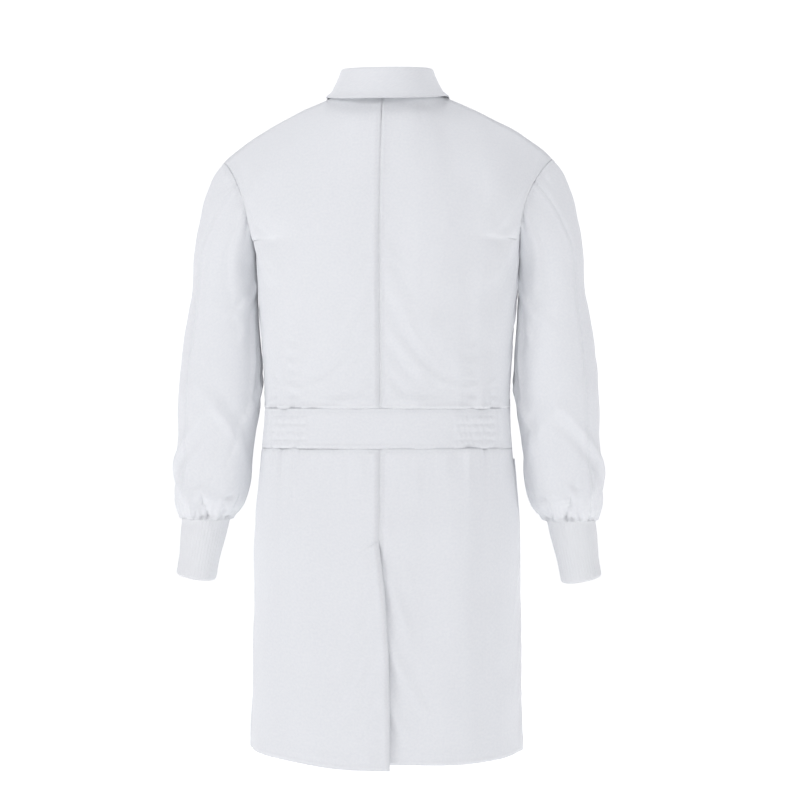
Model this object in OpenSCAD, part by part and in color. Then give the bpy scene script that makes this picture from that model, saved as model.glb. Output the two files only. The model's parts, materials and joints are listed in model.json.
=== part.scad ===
// Lab coat: knee-length, rib-knit cuffs, inset elasticated back band, centre back vent, press-stud front.
// The front faces -Y, the wearer's left is +X, and the origin is the centre of the neck opening at the nape.

/* [Body] */
// Length from the nape to the hem at the centre back
back_length = 1014; // [980:2:1050]
// Width across the chest, just below the armholes
chest_w = 408; // [398:2:410]
// Width across the waist
waist_w = 379; // [368:2:384]
// Width across the hips
hip_w = 408; // [400:2:416]
// Width across the hem
hem_w = 416; // [404:2:424]
// Depth from the front to the back at the chest
chest_depth = 250; // [240:2:256]
// Drop of the hem at the centre back below the sides
hem_dip = 10; // [0:1:16]

/* [Shoulders] */
// Width between the shoulder points
shoulder_w = 510; // [500:2:516]
// Drop of the shoulder points below the nape
shoulder_drop = 97; // [92:1:102]
// Width of the neck opening
neck_w = 170; // [160:2:180]

/* [Sleeves] */
// Width of the sleeve at the upper arm
upper_arm_w = 98; // [92:1:100]
// Width of the sleeve below the elbow, its widest place
forearm_w = 128; // [120:1:130]
// Width of the rib-knit cuff at the sleeve seam
cuff_w = 75; // [70:1:78]
// Length of the rib-knit cuff
cuff_length = 92; // [80:1:100]

/* [Collar] */
// Height of the collar stand at the back
stand_h = 34; // [30:1:38]
// Height of the turned-down leaf at the centre back
leaf_h = 50; // [46:1:54]

/* [Details] */
// Thickness of the cloth as built, with its turnings
cloth_t = 1.2; // [1:0.1:1.6]
// Height of the back waistband
band_h = 58; // [50:1:64]
// Height of the back vent
vent_h = 348; // [320:2:360]
// Lap of the left front over the right front, each side of the centre
lap = 20; // [18:1:22]
// Radius of the press-stud caps
cap_r = 7.5; // [6.5:0.25:8]
// Pitch of the press studs below the top one
stud_pitch = 145; // [140:1:148]

/* [Hidden] */

// Levels, measured down from the nape
chest_z = -222;
waist_z = -455;
hip_z = -700;
hem_z = -back_length + hem_dip;
band_top_z = -482;
band_low_z = band_top_z - band_h;
vent_top_z = -back_length + vent_h;
// Half widths and depths at the chest, waist, hip and hem
half_w = [chest_w, waist_w, hip_w, hem_w]/2;
back_d = [chest_depth/2 + 2, 112, 128, 134];
front_d = [chest_depth/2 - 1, 117, 125, 130];
// Roundness of the body's cross-section: 2 would be an ellipse
round_e = 2.4;
// Neck depths behind and in front of the origin, and the front neck's drop
neck_back = 72;
neck_front = 78;
neck_drop = 74;
// Share of a panel's width that lies on the neck edge
neck_share = 0.36;
seam = 0.3;             // half the gap left at a seam
layer_gap = 0.4;        // gap between cloth layers
armpit = [half_w[0], 0, chest_z];
shoulder = [shoulder_w/2, 0, -shoulder_drop];
// The laps stand proud by the height of a closed press stud
lap_lift = 4.9;
flap_gap = 1.2;         // gap along a fold line that works as a hinge
// Fold lines of the moving fronts: x and z at the top and x at the hem
left_fold = [22, -240, 110];
right_fold = [-22, -500, -110];
// Fold lines of the moving vent corners: x and z at the top and x at the hem
vent_fold = [14, vent_top_z, 100];
vent_lap = 17;          // overlap of the vent edges beyond the centre at the hem
vent_lap_top = 2.5;     // the same at the vent's top
vent_lift = 3;          // room between the vent's outer and inner edges
top_snap_z = -138;
snap_zs = [for (i = [1:5]) top_snap_z - i*stud_pitch];
$fn = 32;

function smooth(t) = let(c = max(0, min(1, t))) c*c*(3 - 2*c);
function blend(a, b, t) = a + (b - a)*t;
function unit(p) = p/norm(p);
function steps(a, b, n) = [for (i = [0:n]) a + (b - a)*i/n];
function bezier(p, t) = p[0]*pow(1 - t, 3) + 3*p[1]*t*pow(1 - t, 2) + 3*p[2]*t*t*(1 - t) + p[3]*pow(t, 3);

// Value at height z of a profile given at the chest, waist, hip and hem
function at_height(p, z) =
    z > waist_z ? blend(p[0], p[1], smooth((chest_z - z)/(chest_z - waist_z)))
    : z > hip_z ? blend(p[1], p[2], smooth((waist_z - z)/(waist_z - hip_z)))
    : blend(p[2], p[3], smooth((hip_z - z)/(hip_z - hem_z)));

// Point of the body below the chest. side is 1 for the back and -1 for the front.
// u runs from 0 at the centre line to 1 at the side seam, and is negative on the wearer's right.
function ring(side, u, z) =
    let(a = 90*abs(u), s = u < 0 ? -1 : 1, d = at_height(side > 0 ? back_d : front_d, z))
    [s*at_height(half_w, z)*pow(sin(a), 2/round_e), side*d*pow(cos(a), 2/round_e), z];

// The u of a given x at a given height
function u_of(x, z) =
    (x < 0 ? -1 : 1)*asin(pow(min(1, abs(x)/at_height(half_w, z)), round_e/2))/90;

// Edges of the upper body: armhole, centre line, and neck edge with shoulder seam
function arm_edge(side, v) =
    bezier([armpit, armpit + [-5, side*75, 7], shoulder + [-41, side*60, -44], shoulder], v);
function centre_edge(side, v) = side > 0
    ? bezier([ring(1, 0, chest_z), [0, back_d[0] + 1, -150], [0, 94, -40], [0, neck_back, 0]], v)
    : bezier([ring(-1, 0, chest_z), [0, -front_d[0] - 2, -175], [0, -97, -100],
        [0, -neck_front, -neck_drop + 2]], v);
function neck_z(side, c) = side > 0 ? 2 - 2*c*c : 2 - neck_drop*pow(c, 1.5);
function top_edge(side, u) = u < neck_share
    ? let(b = 90*u/neck_share)
        [neck_w/2*sin(b), side*(side > 0 ? neck_back : neck_front)*cos(b), neck_z(side, cos(b))]
    : bezier([[neck_w/2, 0, 2], [140, 0, -24], [shoulder[0] - 30, 0, -62], shoulder],
        (u - neck_share)/(1 - neck_share));

// Point of the upper body, v from 0 at the chest to 1 at the neck and shoulder
function upper(side, u, v) =
    let(across = blend(ring(side, u, chest_z), top_edge(side, u), v),
        down = blend(centre_edge(side, v), arm_edge(side, v), u),
        low = blend(ring(side, 0, chest_z), ring(side, 1, chest_z), u),
        high = blend(top_edge(side, 0), top_edge(side, 1), u),
        fullness = 13*27*u*u*(1 - u)*v*(1 - v))
    across + down - blend(low, high, v) + fullness*[0.35, side, 0.35];

// Point of the body over its whole height. v below 0 is a height z, v from 0 to 1 is above the chest.
function body(side, u, v) = v < 0
    ? let(dip = hem_dip*smooth((hip_z - v)/(hip_z - hem_z))*pow(cos(90*u), 2))
        ring(side, u, v) - [0, 0, dip]
    : u < 0 ? let(p = upper(side, -u, v)) [-p[0], p[1], p[2]] : upper(side, u, v);

// Point of the body moved out along the surface's normal by d
function body_proud(side, u, v, d) =
    let(e = 0.01, ua = max(-1, u - e), ub = min(1, u + e),
        va = v < 0 ? v - 4 : max(0, v - e), vb = v < 0 ? v + 4 - (v > -5 ? 4.001 : 0) : min(1, v + e),
        n = cross(body(side, ub, v) - body(side, ua, v), body(side, u, vb) - body(side, u, va)))
    body(side, u, v) - side*d*unit(n);

// A closed sheet of thickness t over the points f(c, r, d), for each column c, row r and lift d
module sheet(f, cols, rows, t, flip = false, wrap = false) {
    nc = len(cols);
    nr = len(rows);
    n = nc*nr;
    last = wrap ? nc - 1 : nc - 2;
    points = [for (d = [0, t], r = rows, c = cols) f(c, r, d)];
    skins = [for (j = [0:nr - 2], i = [0:last])
        let(a = j*nc + i, b = j*nc + (i + 1)%nc)
        each [[a, b, b + nc], [a, b + nc, a + nc],
            [a + n, b + nc + n, b + n], [a + n, a + nc + n, b + nc + n]]];
    ends = [for (i = [0:last])
        let(b = (i + 1)%nc, k = (nr - 1)*nc)
        each [[i, i + n, b + n], [i, b + n, b], [k + i, k + b + n, k + i + n], [k + i, k + b, k + b + n]]];
    sides = wrap ? [] : [for (j = [0:nr - 2])
        let(a = j*nc, b = j*nc + nc - 1)
        each [[a, a + nc, a + nc + n], [a, a + nc + n, a + n],
            [b, b + nc + n, b + nc], [b, b + n, b + nc + n]]];
    faces = concat(skins, ends, sides);
    polyhedron(points, flip ? [for (q = faces) [q[2], q[1], q[0]]] : faces);
}

// A panel of the body between columns from(v) and to(v), with s from 0 to 1 across it
module panel(side, from, to, ns, rows, t = cloth_t, lift = function(s, v) 0) {
    sheet(function(s, v, d) body_proud(side, blend(from(v), to(v), s), v, d + lift(s, v)),
        steps(0, 1, ns), rows, t, flip = side > 0);
}

// x of a fold line at height z
function fold_x(f, z) = blend(f[0], f[2], (f[1] - z)/(f[1] - hem_z));
function level(v) = v < 0 ? v : chest_z;
// Rows above the chest, and the columns next to the side seam and the centre seam
upper_rows = steps(0, 0.994, 9);
side_u = 1 - seam/280;
centre_u = 0.0006;

// Back

module back_half(s) {
    color("white")
    mirror([s < 0 ? 1 : 0, 0, 0])
    panel(1, function(v) centre_u, function(v) side_u, 14,
        concat(steps(band_top_z + seam, chest_z - 20, 4), upper_rows));
}
module back_left() { back_half(1); }
module back_right() { back_half(-1); }

facing_gap = 1.6;       // gap between the neck facing and the back
module back_neck_facing() {
    color("whitesmoke")
    panel(1, function(v) -0.33, function(v) 0.33, 16, steps(0.62, 0.975, 4),
        lift = function(s, v) -cloth_t - facing_gap);
}

loop_r = 80;            // radius of the loop's curve in plan
loop_half = 19;         // half angle of the loop's arc
loop_h = 8;             // height of the loop's tape
loop_y = 50;            // place of the loop's middle behind the origin
module hanger_loop() {
    color("whitesmoke")
    translate([0, loop_y + loop_r, -20])
    rotate([0, 0, 270 - loop_half])
    rotate_extrude(angle = 2*loop_half, $fn = 96)
    translate([loop_r, 0])
    square([cloth_t, loop_h]);
}

// Collar: b runs round the neck from the centre front at 0, over the wearer's left at 90

function neck(b) =
    let(side = cos(b) > 0 ? -1 : 1, c = abs(cos(b)))
    [neck_w/2*sin(b), side*(side > 0 ? neck_back : neck_front)*c, neck_z(side, c)];
function away(b) = unit([neck(b)[0]*neck_back/neck_w*1.7, neck(b)[1], 0]);
front_share = function(b) pow(max(0, cos(b)), 1.5);
function stand_top(b) = stand_h - 6*front_share(b) + 4*pow(sin(b), 2);
// The collar leans in towards the neck at its sides
function side_lean(b) = 14*pow(sin(b), 2);
function stand_point(b, h) =
    neck(b) + [0, 0, 1.6 + stand_top(b)*h] - (3 + (3 + side_lean(b))*h)*away(b);
function leaf_length(b) = blend(41, leaf_h, smooth(abs(cos(b)))) + 24*front_share(b);
function flare(b) = 19 + 30*front_share(b);
function leaf_point(b, h) =
    neck(b) + [0, 0, 4.2 + stand_top(b) - leaf_length(b)*h]
    + (-1 - side_lean(b) + 3*min(1, h*12) + flare(b)*pow(h, 1.4))*away(b);
leaf_rows = [0, 0.03, 0.08, 0.25, 0.45, 0.65, 0.85, 1];
collar_ends = steps(6, 354, 36);

module collar_stand() {
    color("whitesmoke")
    sheet(function(b, h, d) stand_point(b, h) - d*away(b), collar_ends, steps(0, 1, 3), cloth_t, flip = true);
}
module collar_leaf() {
    color("white")
    sheet(function(b, h, d) leaf_point(b, h) + d*away(b) + [0, 0, d*(1 - min(1, h*12))],
        collar_ends, leaf_rows, 1.6, flip = true);
}

// Waistband

band_rows = steps(band_low_z + seam, band_top_z - seam, 3);
elastic_from = 0.42;
elastic_to = 0.86;
casing = 2.4;           // room for the elastic between the band's two layers
band_end = 0.93;
function casing_lift(s) = casing*smooth(12*s)*smooth(12*(1 - s));

module waistband_outer() {
    color("white")
    panel(1, function(v) -side_u, function(v) side_u, 26, band_rows,
        lift = function(s, v) casing_lift(s));
}
module waistband_inner() {
    color("whitesmoke")
    panel(1, function(v) -band_end, function(v) band_end, 26, band_rows,
        lift = function(s, v) -cloth_t - layer_gap);
}
module elastic(s) {
    color("gainsboro")
    mirror([s < 0 ? 1 : 0, 0, 0])
    panel(1, function(v) elastic_from, function(v) elastic_to, 8,
        steps(band_low_z + 5, band_top_z - 5, 2), lift = function(s, v) 0.3);
}
module elastic_left() { elastic(1); }
module elastic_right() { elastic(-1); }

// Back skirt and vent

function vent_x(s, v) = v > vent_top_z ? centre_u*s : s*u_of(fold_x(vent_fold, v), v);
skirt_rows = concat(steps(hem_z, vent_top_z - 1, 7), steps(vent_top_z + 1, band_low_z - seam, 3));

module skirt_half(s) {
    color("white")
    panel(1, function(v) s > 0 ? vent_x(1, v) : -side_u, function(v) s > 0 ? side_u : vent_x(-1, v), 9,
        skirt_rows, lift = function(k, v) s > 0 ? vent_lift_at(k, v) : 0);
}
// The left skirt stands proud near the vent, so that the right one passes under it
function vent_lift_at(k, v) =
    vent_lift*smooth((1 - k)*1.6 - 0.6)*smooth((vent_top_z + 70 - v)/70);
module skirt_back_left() { skirt_half(1); }
module skirt_back_right() { skirt_half(-1); }

vent_rows = steps(hem_z, vent_top_z - 4, 7);
function vent_edge(v) = blend(vent_lap_top, vent_lap, (vent_top_z - v)/(vent_top_z - hem_z));
module vent_flap_left() {
    color("white")
    panel(1, function(v) u_of(-vent_edge(v), v), function(v) u_of(fold_x(vent_fold, v) - flap_gap, v), 5,
        vent_rows, lift = function(s, v) vent_lift);
}
module vent_flap_right() {
    color("whitesmoke")
    panel(1, function(v) -u_of(fold_x(vent_fold, v) - flap_gap, v), function(v) u_of(vent_edge(v), v), 5,
        vent_rows);
}

// Fronts

left_free = function(v) -u_of(lap, level(v));
right_free = function(v) u_of(lap, level(v));
function lap_at(x) = lap_lift*(1 - smooth((abs(x) - 25)/45));
left_inner = function(v) v > left_fold[1] && v < 0 || v >= 0
    ? left_free(v) : u_of(fold_x(left_fold, v), v);
right_inner = function(v) v > right_fold[1] && v < 0 || v >= 0
    ? right_free(v) : u_of(fold_x(right_fold, v), v);
function front_rows(f, n1, n2) =
    concat(steps(hem_z, f[1] - 1, n1), steps(f[1] + 1, chest_z - 4, n2), upper_rows);

module front_left() {
    color("white")
    panel(-1, left_inner, function(v) side_u, 16, front_rows(left_fold, 14, 1),
        lift = function(s, v) lap_at(body(-1, blend(left_inner(v), side_u, s), v)[0]));
}
module front_right() {
    color("white")
    panel(-1, function(v) -side_u, right_inner, 16, front_rows(right_fold, 10, 5));
}
module front_left_flap() {
    color("white")
    panel(-1, left_free, function(v) u_of(fold_x(left_fold, v) - flap_gap, v), 5,
        steps(hem_z, left_fold[1] - 4, 14),
        lift = function(s, v) lap_at(fold_x(left_fold, v)*s));
}
module front_right_flap() {
    color("whitesmoke")
    panel(-1, function(v) u_of(fold_x(right_fold, v) + flap_gap, v), right_free, 5,
        steps(hem_z, right_fold[1] - 4, 10));
}

// Patch pockets: a pouch wall that meets the front at its sides and bottom and stands off it at its mouth

module pouch(s, from, to, low, high, bulge) {
    color("white")
    mirror([s < 0 ? 1 : 0, 0, 0])
    panel(-1, from, to, 12, steps(low, high, 8),
        lift = function(k, v) cloth_t + layer_gap
            + bulge*pow(sin(180*max(0.0001, min(0.9999, k))), 0.5)*pow(smooth((v - low + 1)/60), 0.7));
}
hip_low_z = -745;
hip_high_z = -560;
chest_low_z = -352;
chest_high_z = -226;
pocket_room = 12;
module hip_pocket_left() {
    pouch(1, function(v) u_of(92, v), function(v) 0.88, hip_low_z, hip_high_z, pocket_room);
}
module hip_pocket_right() {
    pouch(-1, function(v) u_of(92, v), function(v) 0.88, hip_low_z, hip_high_z, pocket_room);
}
module chest_pocket() {
    pouch(1, function(v) u_of(72, v), function(v) u_of(158, v), chest_low_z, chest_high_z, pocket_room);
}

// Sleeves: q is the angle round the sleeve from the shoulder point, over the back at 90

sleeve_top_z = -260;
cuff_top_z = -654;
elbow_z = -470;
sleeve_rise = 3.5;      // gap between the armhole edge and the sleeve head
function sleeve_x(z) = z > elbow_z
    ? blend(257, 264, smooth((sleeve_top_z - z)/(sleeve_top_z - elbow_z)))
    : 264 + 19*pow((elbow_z - z)/(elbow_z - cuff_top_z), 1.3);
function sleeve_r(z) = z > elbow_z
    ? blend(upper_arm_w, forearm_w, smooth((sleeve_top_z - z)/(sleeve_top_z - elbow_z)*1.1))/2
    : blend(forearm_w/2, cuff_w/2 + 4, pow(max(0, (elbow_z - 40 - z)/(elbow_z - 40 - cuff_top_z)), 2.2));
function tube(q, z) = [sleeve_x(z) + sleeve_r(z)*cos(q), 0.82*sleeve_r(z)*sin(q), z];
function armhole(q) = arm_edge(q < 180 ? 1 : -1, 1 - (q < 180 ? q : 360 - q)/180);
function head_dir(q) = unit([0.88, 0.12*sin(q), -0.48 - 0.3*(1 - cos(q))]);
function head(q, h) =
    let(a = armhole(q) + sleeve_rise*head_dir(q), z = tube(q, sleeve_top_z), l = norm(z - a))
    bezier([a, a + 0.15*l*head_dir(q), z + [0, 0, 0.35*l], z], h);
// h below 0 is a height z down the sleeve, h from 0 to 1 runs up the sleeve head
function sleeve_point(q, h) = h < 0 ? tube(q, h) : head(q, 1 - h);
function sleeve_proud(q, h, d) =
    let(c = [sleeve_x(h < 0 ? h : sleeve_top_z), 0, h < 0 ? h : sleeve_top_z],
        p = sleeve_point(q, h), out = h < 0 ? p - c : blend(p - c, p - [206, 0, -175], h*0.8))
    p - d*unit([out[0], out[1], h < 0 ? 0 : out[2]*h*0.6]);
sleeve_rows = concat(steps(cuff_top_z, sleeve_top_z - 40, 9), steps(0, 1, 6));
// Angles of the two seams between the upper and the under sleeve
under_from = 46;
under_to = 314;

module sleeve_part(s, q0, q1, n) {
    color("white")
    mirror([s < 0 ? 1 : 0, 0, 0])
    sheet(function(q, h, d) sleeve_proud((q + 720)%360, h, d), steps(q0, q1, n), sleeve_rows, cloth_t,
        flip = true);
}
module sleeve_left_upper() { sleeve_part(1, under_to - 360 + seam, under_from - seam, 8); }
module sleeve_right_upper() { sleeve_part(-1, under_to - 360 + seam, under_from - seam, 8); }
module sleeve_left_under() { sleeve_part(1, under_from + seam, under_to - seam, 18); }
module sleeve_right_under() { sleeve_part(-1, under_from + seam, under_to - seam, 18); }

cuff_lean = 10;         // lean of the cuff, out from the sleeve, in degrees
cuff_low_w = 65;
cuff_t = 2.4;
cuff_point = function(q, k, d)
    let(r = blend(cuff_w, cuff_low_w, smooth(k*1.3))/2 - d, l = cuff_length*k)
    [sleeve_x(cuff_top_z) + 1 + l*sin(cuff_lean) + r*cos(q), 0.82*r*sin(q),
        cuff_top_z - 1.5 - l*cos(cuff_lean) + (r*cos(q))*sin(cuff_lean)*k];
module cuff(s) {
    color("white")
    mirror([s < 0 ? 1 : 0, 0, 0])
    sheet(cuff_point, steps(0, 345, 23), steps(0, 1, 4), cuff_t, wrap = true, flip = false);
}
module cuff_left() { cuff(1); }
module cuff_right() { cuff(-1); }

// Press studs

// Finds the upper row whose centre line is at height z
function find_v(z, a, b, n) =
    let(m = (a + b)/2) n == 0 ? m : body(-1, 0, m)[2] > z ? find_v(z, a, m, n - 1) : find_v(z, m, b, n - 1);
function row_of(z) = z < chest_z ? z : find_v(z, 0, 1, 20);

// Stands a part on the centre front at height z, its foot at lift d, facing out
module on_front(z, d) {
    row = row_of(z);
    n = body_proud(-1, 0, row, 1) - body(-1, 0, row);
    translate(body_proud(-1, 0, row, d))
    rotate([atan2(-n[1], n[2]), 0, 0])
    children();
}

dish = 0.45;            // clearance between a press-stud part and the cloth
// The same for the top stud, where the chest curves more
function cap_dish(z) = z > chest_z ? 1.2 : dish;
function stud_dish(z) = z > chest_z ? 0.9 : dish;
stud_r = 2.2;           // radius of the stud's post
// The top stud's foot is smaller and thinner, on the curve of the chest
function foot_r(z) = z > chest_z ? 3.4 : 5.5;
function foot_h(z) = z > chest_z ? 0.4 : 0.6;
module cap(z) {
    on_front(z, lap_lift + cloth_t + cap_dish(z))
    rotate_extrude()
    polygon([[0, 0], [cap_r, 0], [cap_r, 0.5], [cap_r - 1, 1.1], [0, 1.5]]);
}
module socket(z) {
    on_front(z, lap_lift - dish - 1.9)
    difference() {
        cylinder(r = 6, h = 1.9);
        translate([0, 0, -1]) cylinder(r = stud_r + 0.7, h = 4);
    }
}
module stud(z) {
    on_front(z, cloth_t + stud_dish(z))
    union() {
        cylinder(r = foot_r(z), h = foot_h(z));
        cylinder(r = stud_r, h = 2.2);
    }
}
module post(z) {
    on_front(z, -dish - 0.9) cylinder(r = 5, h = 0.9);
}

module snap_cap_top() { color("white") cap(top_snap_z); }
module snap_socket_top() { color("silver") socket(top_snap_z); }
module snap_caps() { color("white") for (z = snap_zs) cap(z); }
module snap_sockets() { color("silver") for (z = snap_zs) socket(z); }
upper_studs = [top_snap_z, snap_zs[0], snap_zs[1]];
lower_studs = [snap_zs[2], snap_zs[3], snap_zs[4]];
module snap_studs_upper() { color("silver") for (z = upper_studs) stud(z); }
module snap_posts_upper() { color("silver") for (z = upper_studs) post(z); }
module snap_studs_lower() { color("silver") for (z = lower_studs) stud(z); }
module snap_posts_lower() { color("silver") for (z = lower_studs) post(z); }

back_left();
back_right();
back_neck_facing();
hanger_loop();
collar_stand();
collar_leaf();
waistband_outer();
waistband_inner();
elastic_left();
elastic_right();
skirt_back_left();
skirt_back_right();
vent_flap_left();
vent_flap_right();
front_left();
front_right();
front_left_flap();
front_right_flap();
chest_pocket();
hip_pocket_left();
hip_pocket_right();
sleeve_left_upper();
sleeve_left_under();
sleeve_right_upper();
sleeve_right_under();
cuff_left();
cuff_right();
snap_cap_top();
snap_socket_top();
snap_caps();
snap_sockets();
snap_studs_upper();
snap_posts_upper();
snap_studs_lower();
snap_posts_lower();
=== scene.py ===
"""Lab coat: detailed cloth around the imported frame. Lengths are millimetres until grid_mesh() writes metres."""
import json
import math

import bmesh
import bpy
import numpy as np
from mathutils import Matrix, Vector


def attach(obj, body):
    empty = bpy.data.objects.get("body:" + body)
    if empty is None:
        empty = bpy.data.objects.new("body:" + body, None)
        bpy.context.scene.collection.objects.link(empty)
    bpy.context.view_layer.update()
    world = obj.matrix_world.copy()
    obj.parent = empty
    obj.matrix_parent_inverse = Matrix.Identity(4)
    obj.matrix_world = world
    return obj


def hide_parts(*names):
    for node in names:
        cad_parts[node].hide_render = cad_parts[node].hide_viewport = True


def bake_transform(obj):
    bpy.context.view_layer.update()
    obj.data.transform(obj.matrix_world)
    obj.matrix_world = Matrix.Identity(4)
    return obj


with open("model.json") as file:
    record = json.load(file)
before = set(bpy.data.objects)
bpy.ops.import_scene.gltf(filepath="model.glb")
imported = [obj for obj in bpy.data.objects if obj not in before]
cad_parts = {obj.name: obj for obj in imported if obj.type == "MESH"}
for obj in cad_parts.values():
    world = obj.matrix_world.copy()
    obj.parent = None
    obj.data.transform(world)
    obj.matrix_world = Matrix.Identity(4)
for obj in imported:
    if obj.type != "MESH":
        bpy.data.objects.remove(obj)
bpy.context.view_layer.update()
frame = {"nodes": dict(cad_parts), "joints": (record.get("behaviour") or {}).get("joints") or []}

MM = 0.001

# ---------------------------------------------------------------- camera

# In metres. The camera stands a little to the wearer's right of straight behind.
HORIZON_Z = -0.468
CAMERA_DISTANCE = 3.1
CAMERA_TURN = math.radians(5)
AIM_X = -0.020


def make_camera():
    data = bpy.data.cameras.new("camera")
    data.sensor_width = 36
    data.lens = 90
    cam = bpy.data.objects.new("camera", data)
    bpy.context.scene.collection.objects.link(cam)
    cam.location = (-CAMERA_DISTANCE*math.sin(CAMERA_TURN) + AIM_X,
                    CAMERA_DISTANCE*math.cos(CAMERA_TURN), HORIZON_Z)
    aim = Vector((AIM_X, 0, HORIZON_Z))
    cam.rotation_euler = (aim - cam.location).to_track_quat("-Z", "Y").to_euler()
    bpy.context.scene.camera = cam


make_camera()

# ---------------------------------------------------------------- the coat's own dimensions

CHEST_Z, WAIST_Z, HIP_Z, HEM_Z = -222.0, -455.0, -700.0, -1004.0
# Half width and depths of the body at those four heights
HALF_W = (204.0, 189.5, 204.0, 208.0)
BACK_D = (127.0, 112.0, 128.0, 134.0)
FRONT_D = (124.0, 117.0, 125.0, 130.0)
ROUND_E = 2.4                # roundness of the body's rings: 2 would be an ellipse
HEM_DIP = 10.0               # how much lower the hem hangs at the centre
NECK_BACK, NECK_FRONT, NECK_DROP, NECK_HALF = 72.0, 78.0, 74.0, 85.0
NECK_SHARE = 0.36            # share of a panel's top edge that belongs to the neck
ARMPIT = np.array([204.0, 0, CHEST_Z])
SHOULDER = np.array([255.0, 0, -97.0])
BAND_TOP, BAND_LOW = -482.0, -540.0
VENT_TOP = -666.0
VENT_OPEN = -684.0           # the edges part below the stitch at the vent's top
VENT_LAP, VENT_FACING = 17.0, 32.0
HEM_WIDTH = 24.0
LAP = 20.0                   # each front reaches this far past the centre line
LAP_LIFT = 4.9               # room for the press studs between the fronts
CLOTH = 1.0                  # thickness of the cloth sheets
GRID = 4.5  # spacing of the cloth's grid


def smooth(t):
    c = np.clip(t, 0, 1)
    return c*c*(3 - 2*c)


def mix(a, b, t):
    return a + (b - a)*t


def unit(v):
    return v/np.maximum(np.linalg.norm(v, axis=-1, keepdims=True), 1e-9)


def hump(x, middle, width):
    """A smooth ridge of height 1 at middle."""
    return np.exp(-((x - middle)/width)**2)


def bezier(p, t):
    t = np.asarray(t)[..., None]
    return p[0]*(1 - t)**3 + 3*p[1]*t*(1 - t)**2 + 3*p[2]*t*t*(1 - t) + p[3]*t**3


def at_height(p, z):
    """A size of the body at height z, from its values p at the four named heights."""
    a = mix(p[0], p[1], smooth((CHEST_Z - z)/(CHEST_Z - WAIST_Z)))
    b = mix(p[1], p[2], smooth((WAIST_Z - z)/(WAIST_Z - HIP_Z)))
    c = mix(p[2], p[3], smooth((HIP_Z - z)/(HIP_Z - HEM_Z)))
    return np.where(z > WAIST_Z, a, np.where(z > HIP_Z, b, c))


def ring(side, u, z):
    """A point of the body at height z. side is 1 at the back and -1 at the front; u runs from -1 to 1 across it."""
    a = np.radians(90*np.abs(u))
    d = at_height(BACK_D if side > 0 else FRONT_D, z)
    x = np.sign(u)*at_height(HALF_W, z)*np.sin(a)**(2/ROUND_E)
    y = side*d*np.maximum(np.cos(a), 0)**(2/ROUND_E)
    return np.stack([x, y, z + 0*u], -1)


def u_of(x, z):
    """The u of a point that stands x to the side."""
    return np.sign(x)*np.degrees(np.arcsin(np.minimum(1, np.abs(x)/at_height(HALF_W, z))**(ROUND_E/2)))/90


def arm_edge(side, v):
    return bezier((ARMPIT, ARMPIT + [-5, side*75, 7], SHOULDER + [-41, side*60, -44], SHOULDER), v)


def centre_edge(side, v):
    if side > 0:
        return bezier(np.array([[0, 127, CHEST_Z], [0, 128, -150], [0, 94, -40], [0, NECK_BACK, 0]]), v)
    return bezier(np.array([[0, -124, CHEST_Z], [0, -126, -175], [0, -97, -100],
                            [0, -NECK_FRONT, 2 - NECK_DROP]]), v)


def neck_z(side, c):
    return 2 - 2*c*c if side > 0 else 2 - NECK_DROP*c**1.5


def top_edge(side, u):
    b = np.radians(90*np.minimum(u/NECK_SHARE, 1))
    c = np.maximum(np.cos(b), 0)
    depth = NECK_BACK if side > 0 else NECK_FRONT
    round_neck = np.stack([NECK_HALF*np.sin(b), side*depth*c, neck_z(side, c)], -1)
    line = np.array([[NECK_HALF, 0, 2], [140, 0, -24], [SHOULDER[0] - 30, 0, -62], SHOULDER])
    slope = bezier(line, np.clip((u - NECK_SHARE)/(1 - NECK_SHARE), 0, 1))
    return np.where((u < NECK_SHARE)[..., None], round_neck, slope)


def upper(side, u, v):
    """A point above the chest: a patch between the chest, the centre line, the armhole and the top edge."""
    s, w, v1, u1 = np.sign(u), np.abs(u), v[..., None], np.abs(u)[..., None]
    one, nil = np.ones_like(w), np.zeros_like(w)
    chest = np.full_like(w, CHEST_Z)
    across = mix(ring(side, w, chest), top_edge(side, w), v1)
    down = mix(centre_edge(side, v), arm_edge(side, v), u1)
    low = mix(ring(side, nil, chest), ring(side, one, chest), u1)
    high = mix(top_edge(side, nil), top_edge(side, one), u1)
    full = (13*27*w*w*(1 - w)*v*(1 - v))[..., None]
    p = across + down - mix(low, high, v1) + full*np.array([0.35, side, 0.35])
    return np.stack([np.where(s < 0, -p[..., 0], p[..., 0]), p[..., 1], p[..., 2]], -1)


def body(side, u, v):
    """Point of the body: v below 0 is a height, v from 0 to 1 runs from the chest to the neck edge."""
    z = np.minimum(v, CHEST_Z)
    dip = HEM_DIP*smooth((HIP_Z - z)/(HIP_Z - HEM_Z))*np.cos(np.radians(90*u))**2
    low = ring(side, u, z)
    low[..., 2] -= dip
    return np.where((v < 0)[..., None], low, upper(side, u, np.clip(v, 0, 1)))


def normals(p, outward):
    """Unit normals of a grid of points, turned to the side that outward(p) points to."""
    du = np.gradient(p, axis=1)
    dv = np.gradient(p, axis=0)
    n = unit(np.cross(du, dv))
    turn = np.sign((n*outward).sum(-1, keepdims=True))
    return n*np.where(turn == 0, 1, turn)


# ---------------------------------------------------------------- folds and puckers

rng = np.random.default_rng(7)
WAVES = [(rng.normal(size=3), rng.uniform(0, 6.28)) for _ in range(26)]


def rumple(p, scale):
    """Soft, irregular waves of about scale millimetres, from -1 to 1."""
    total = 0
    for direction, phase in WAVES:
        k = direction/np.linalg.norm(direction)*(0.7 + 0.6*abs(math.sin(phase*3)))
        total = total + np.sin(2*math.pi*(p @ k)/scale + phase)
    return np.clip(total/4.2, -1, 1)


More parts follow.
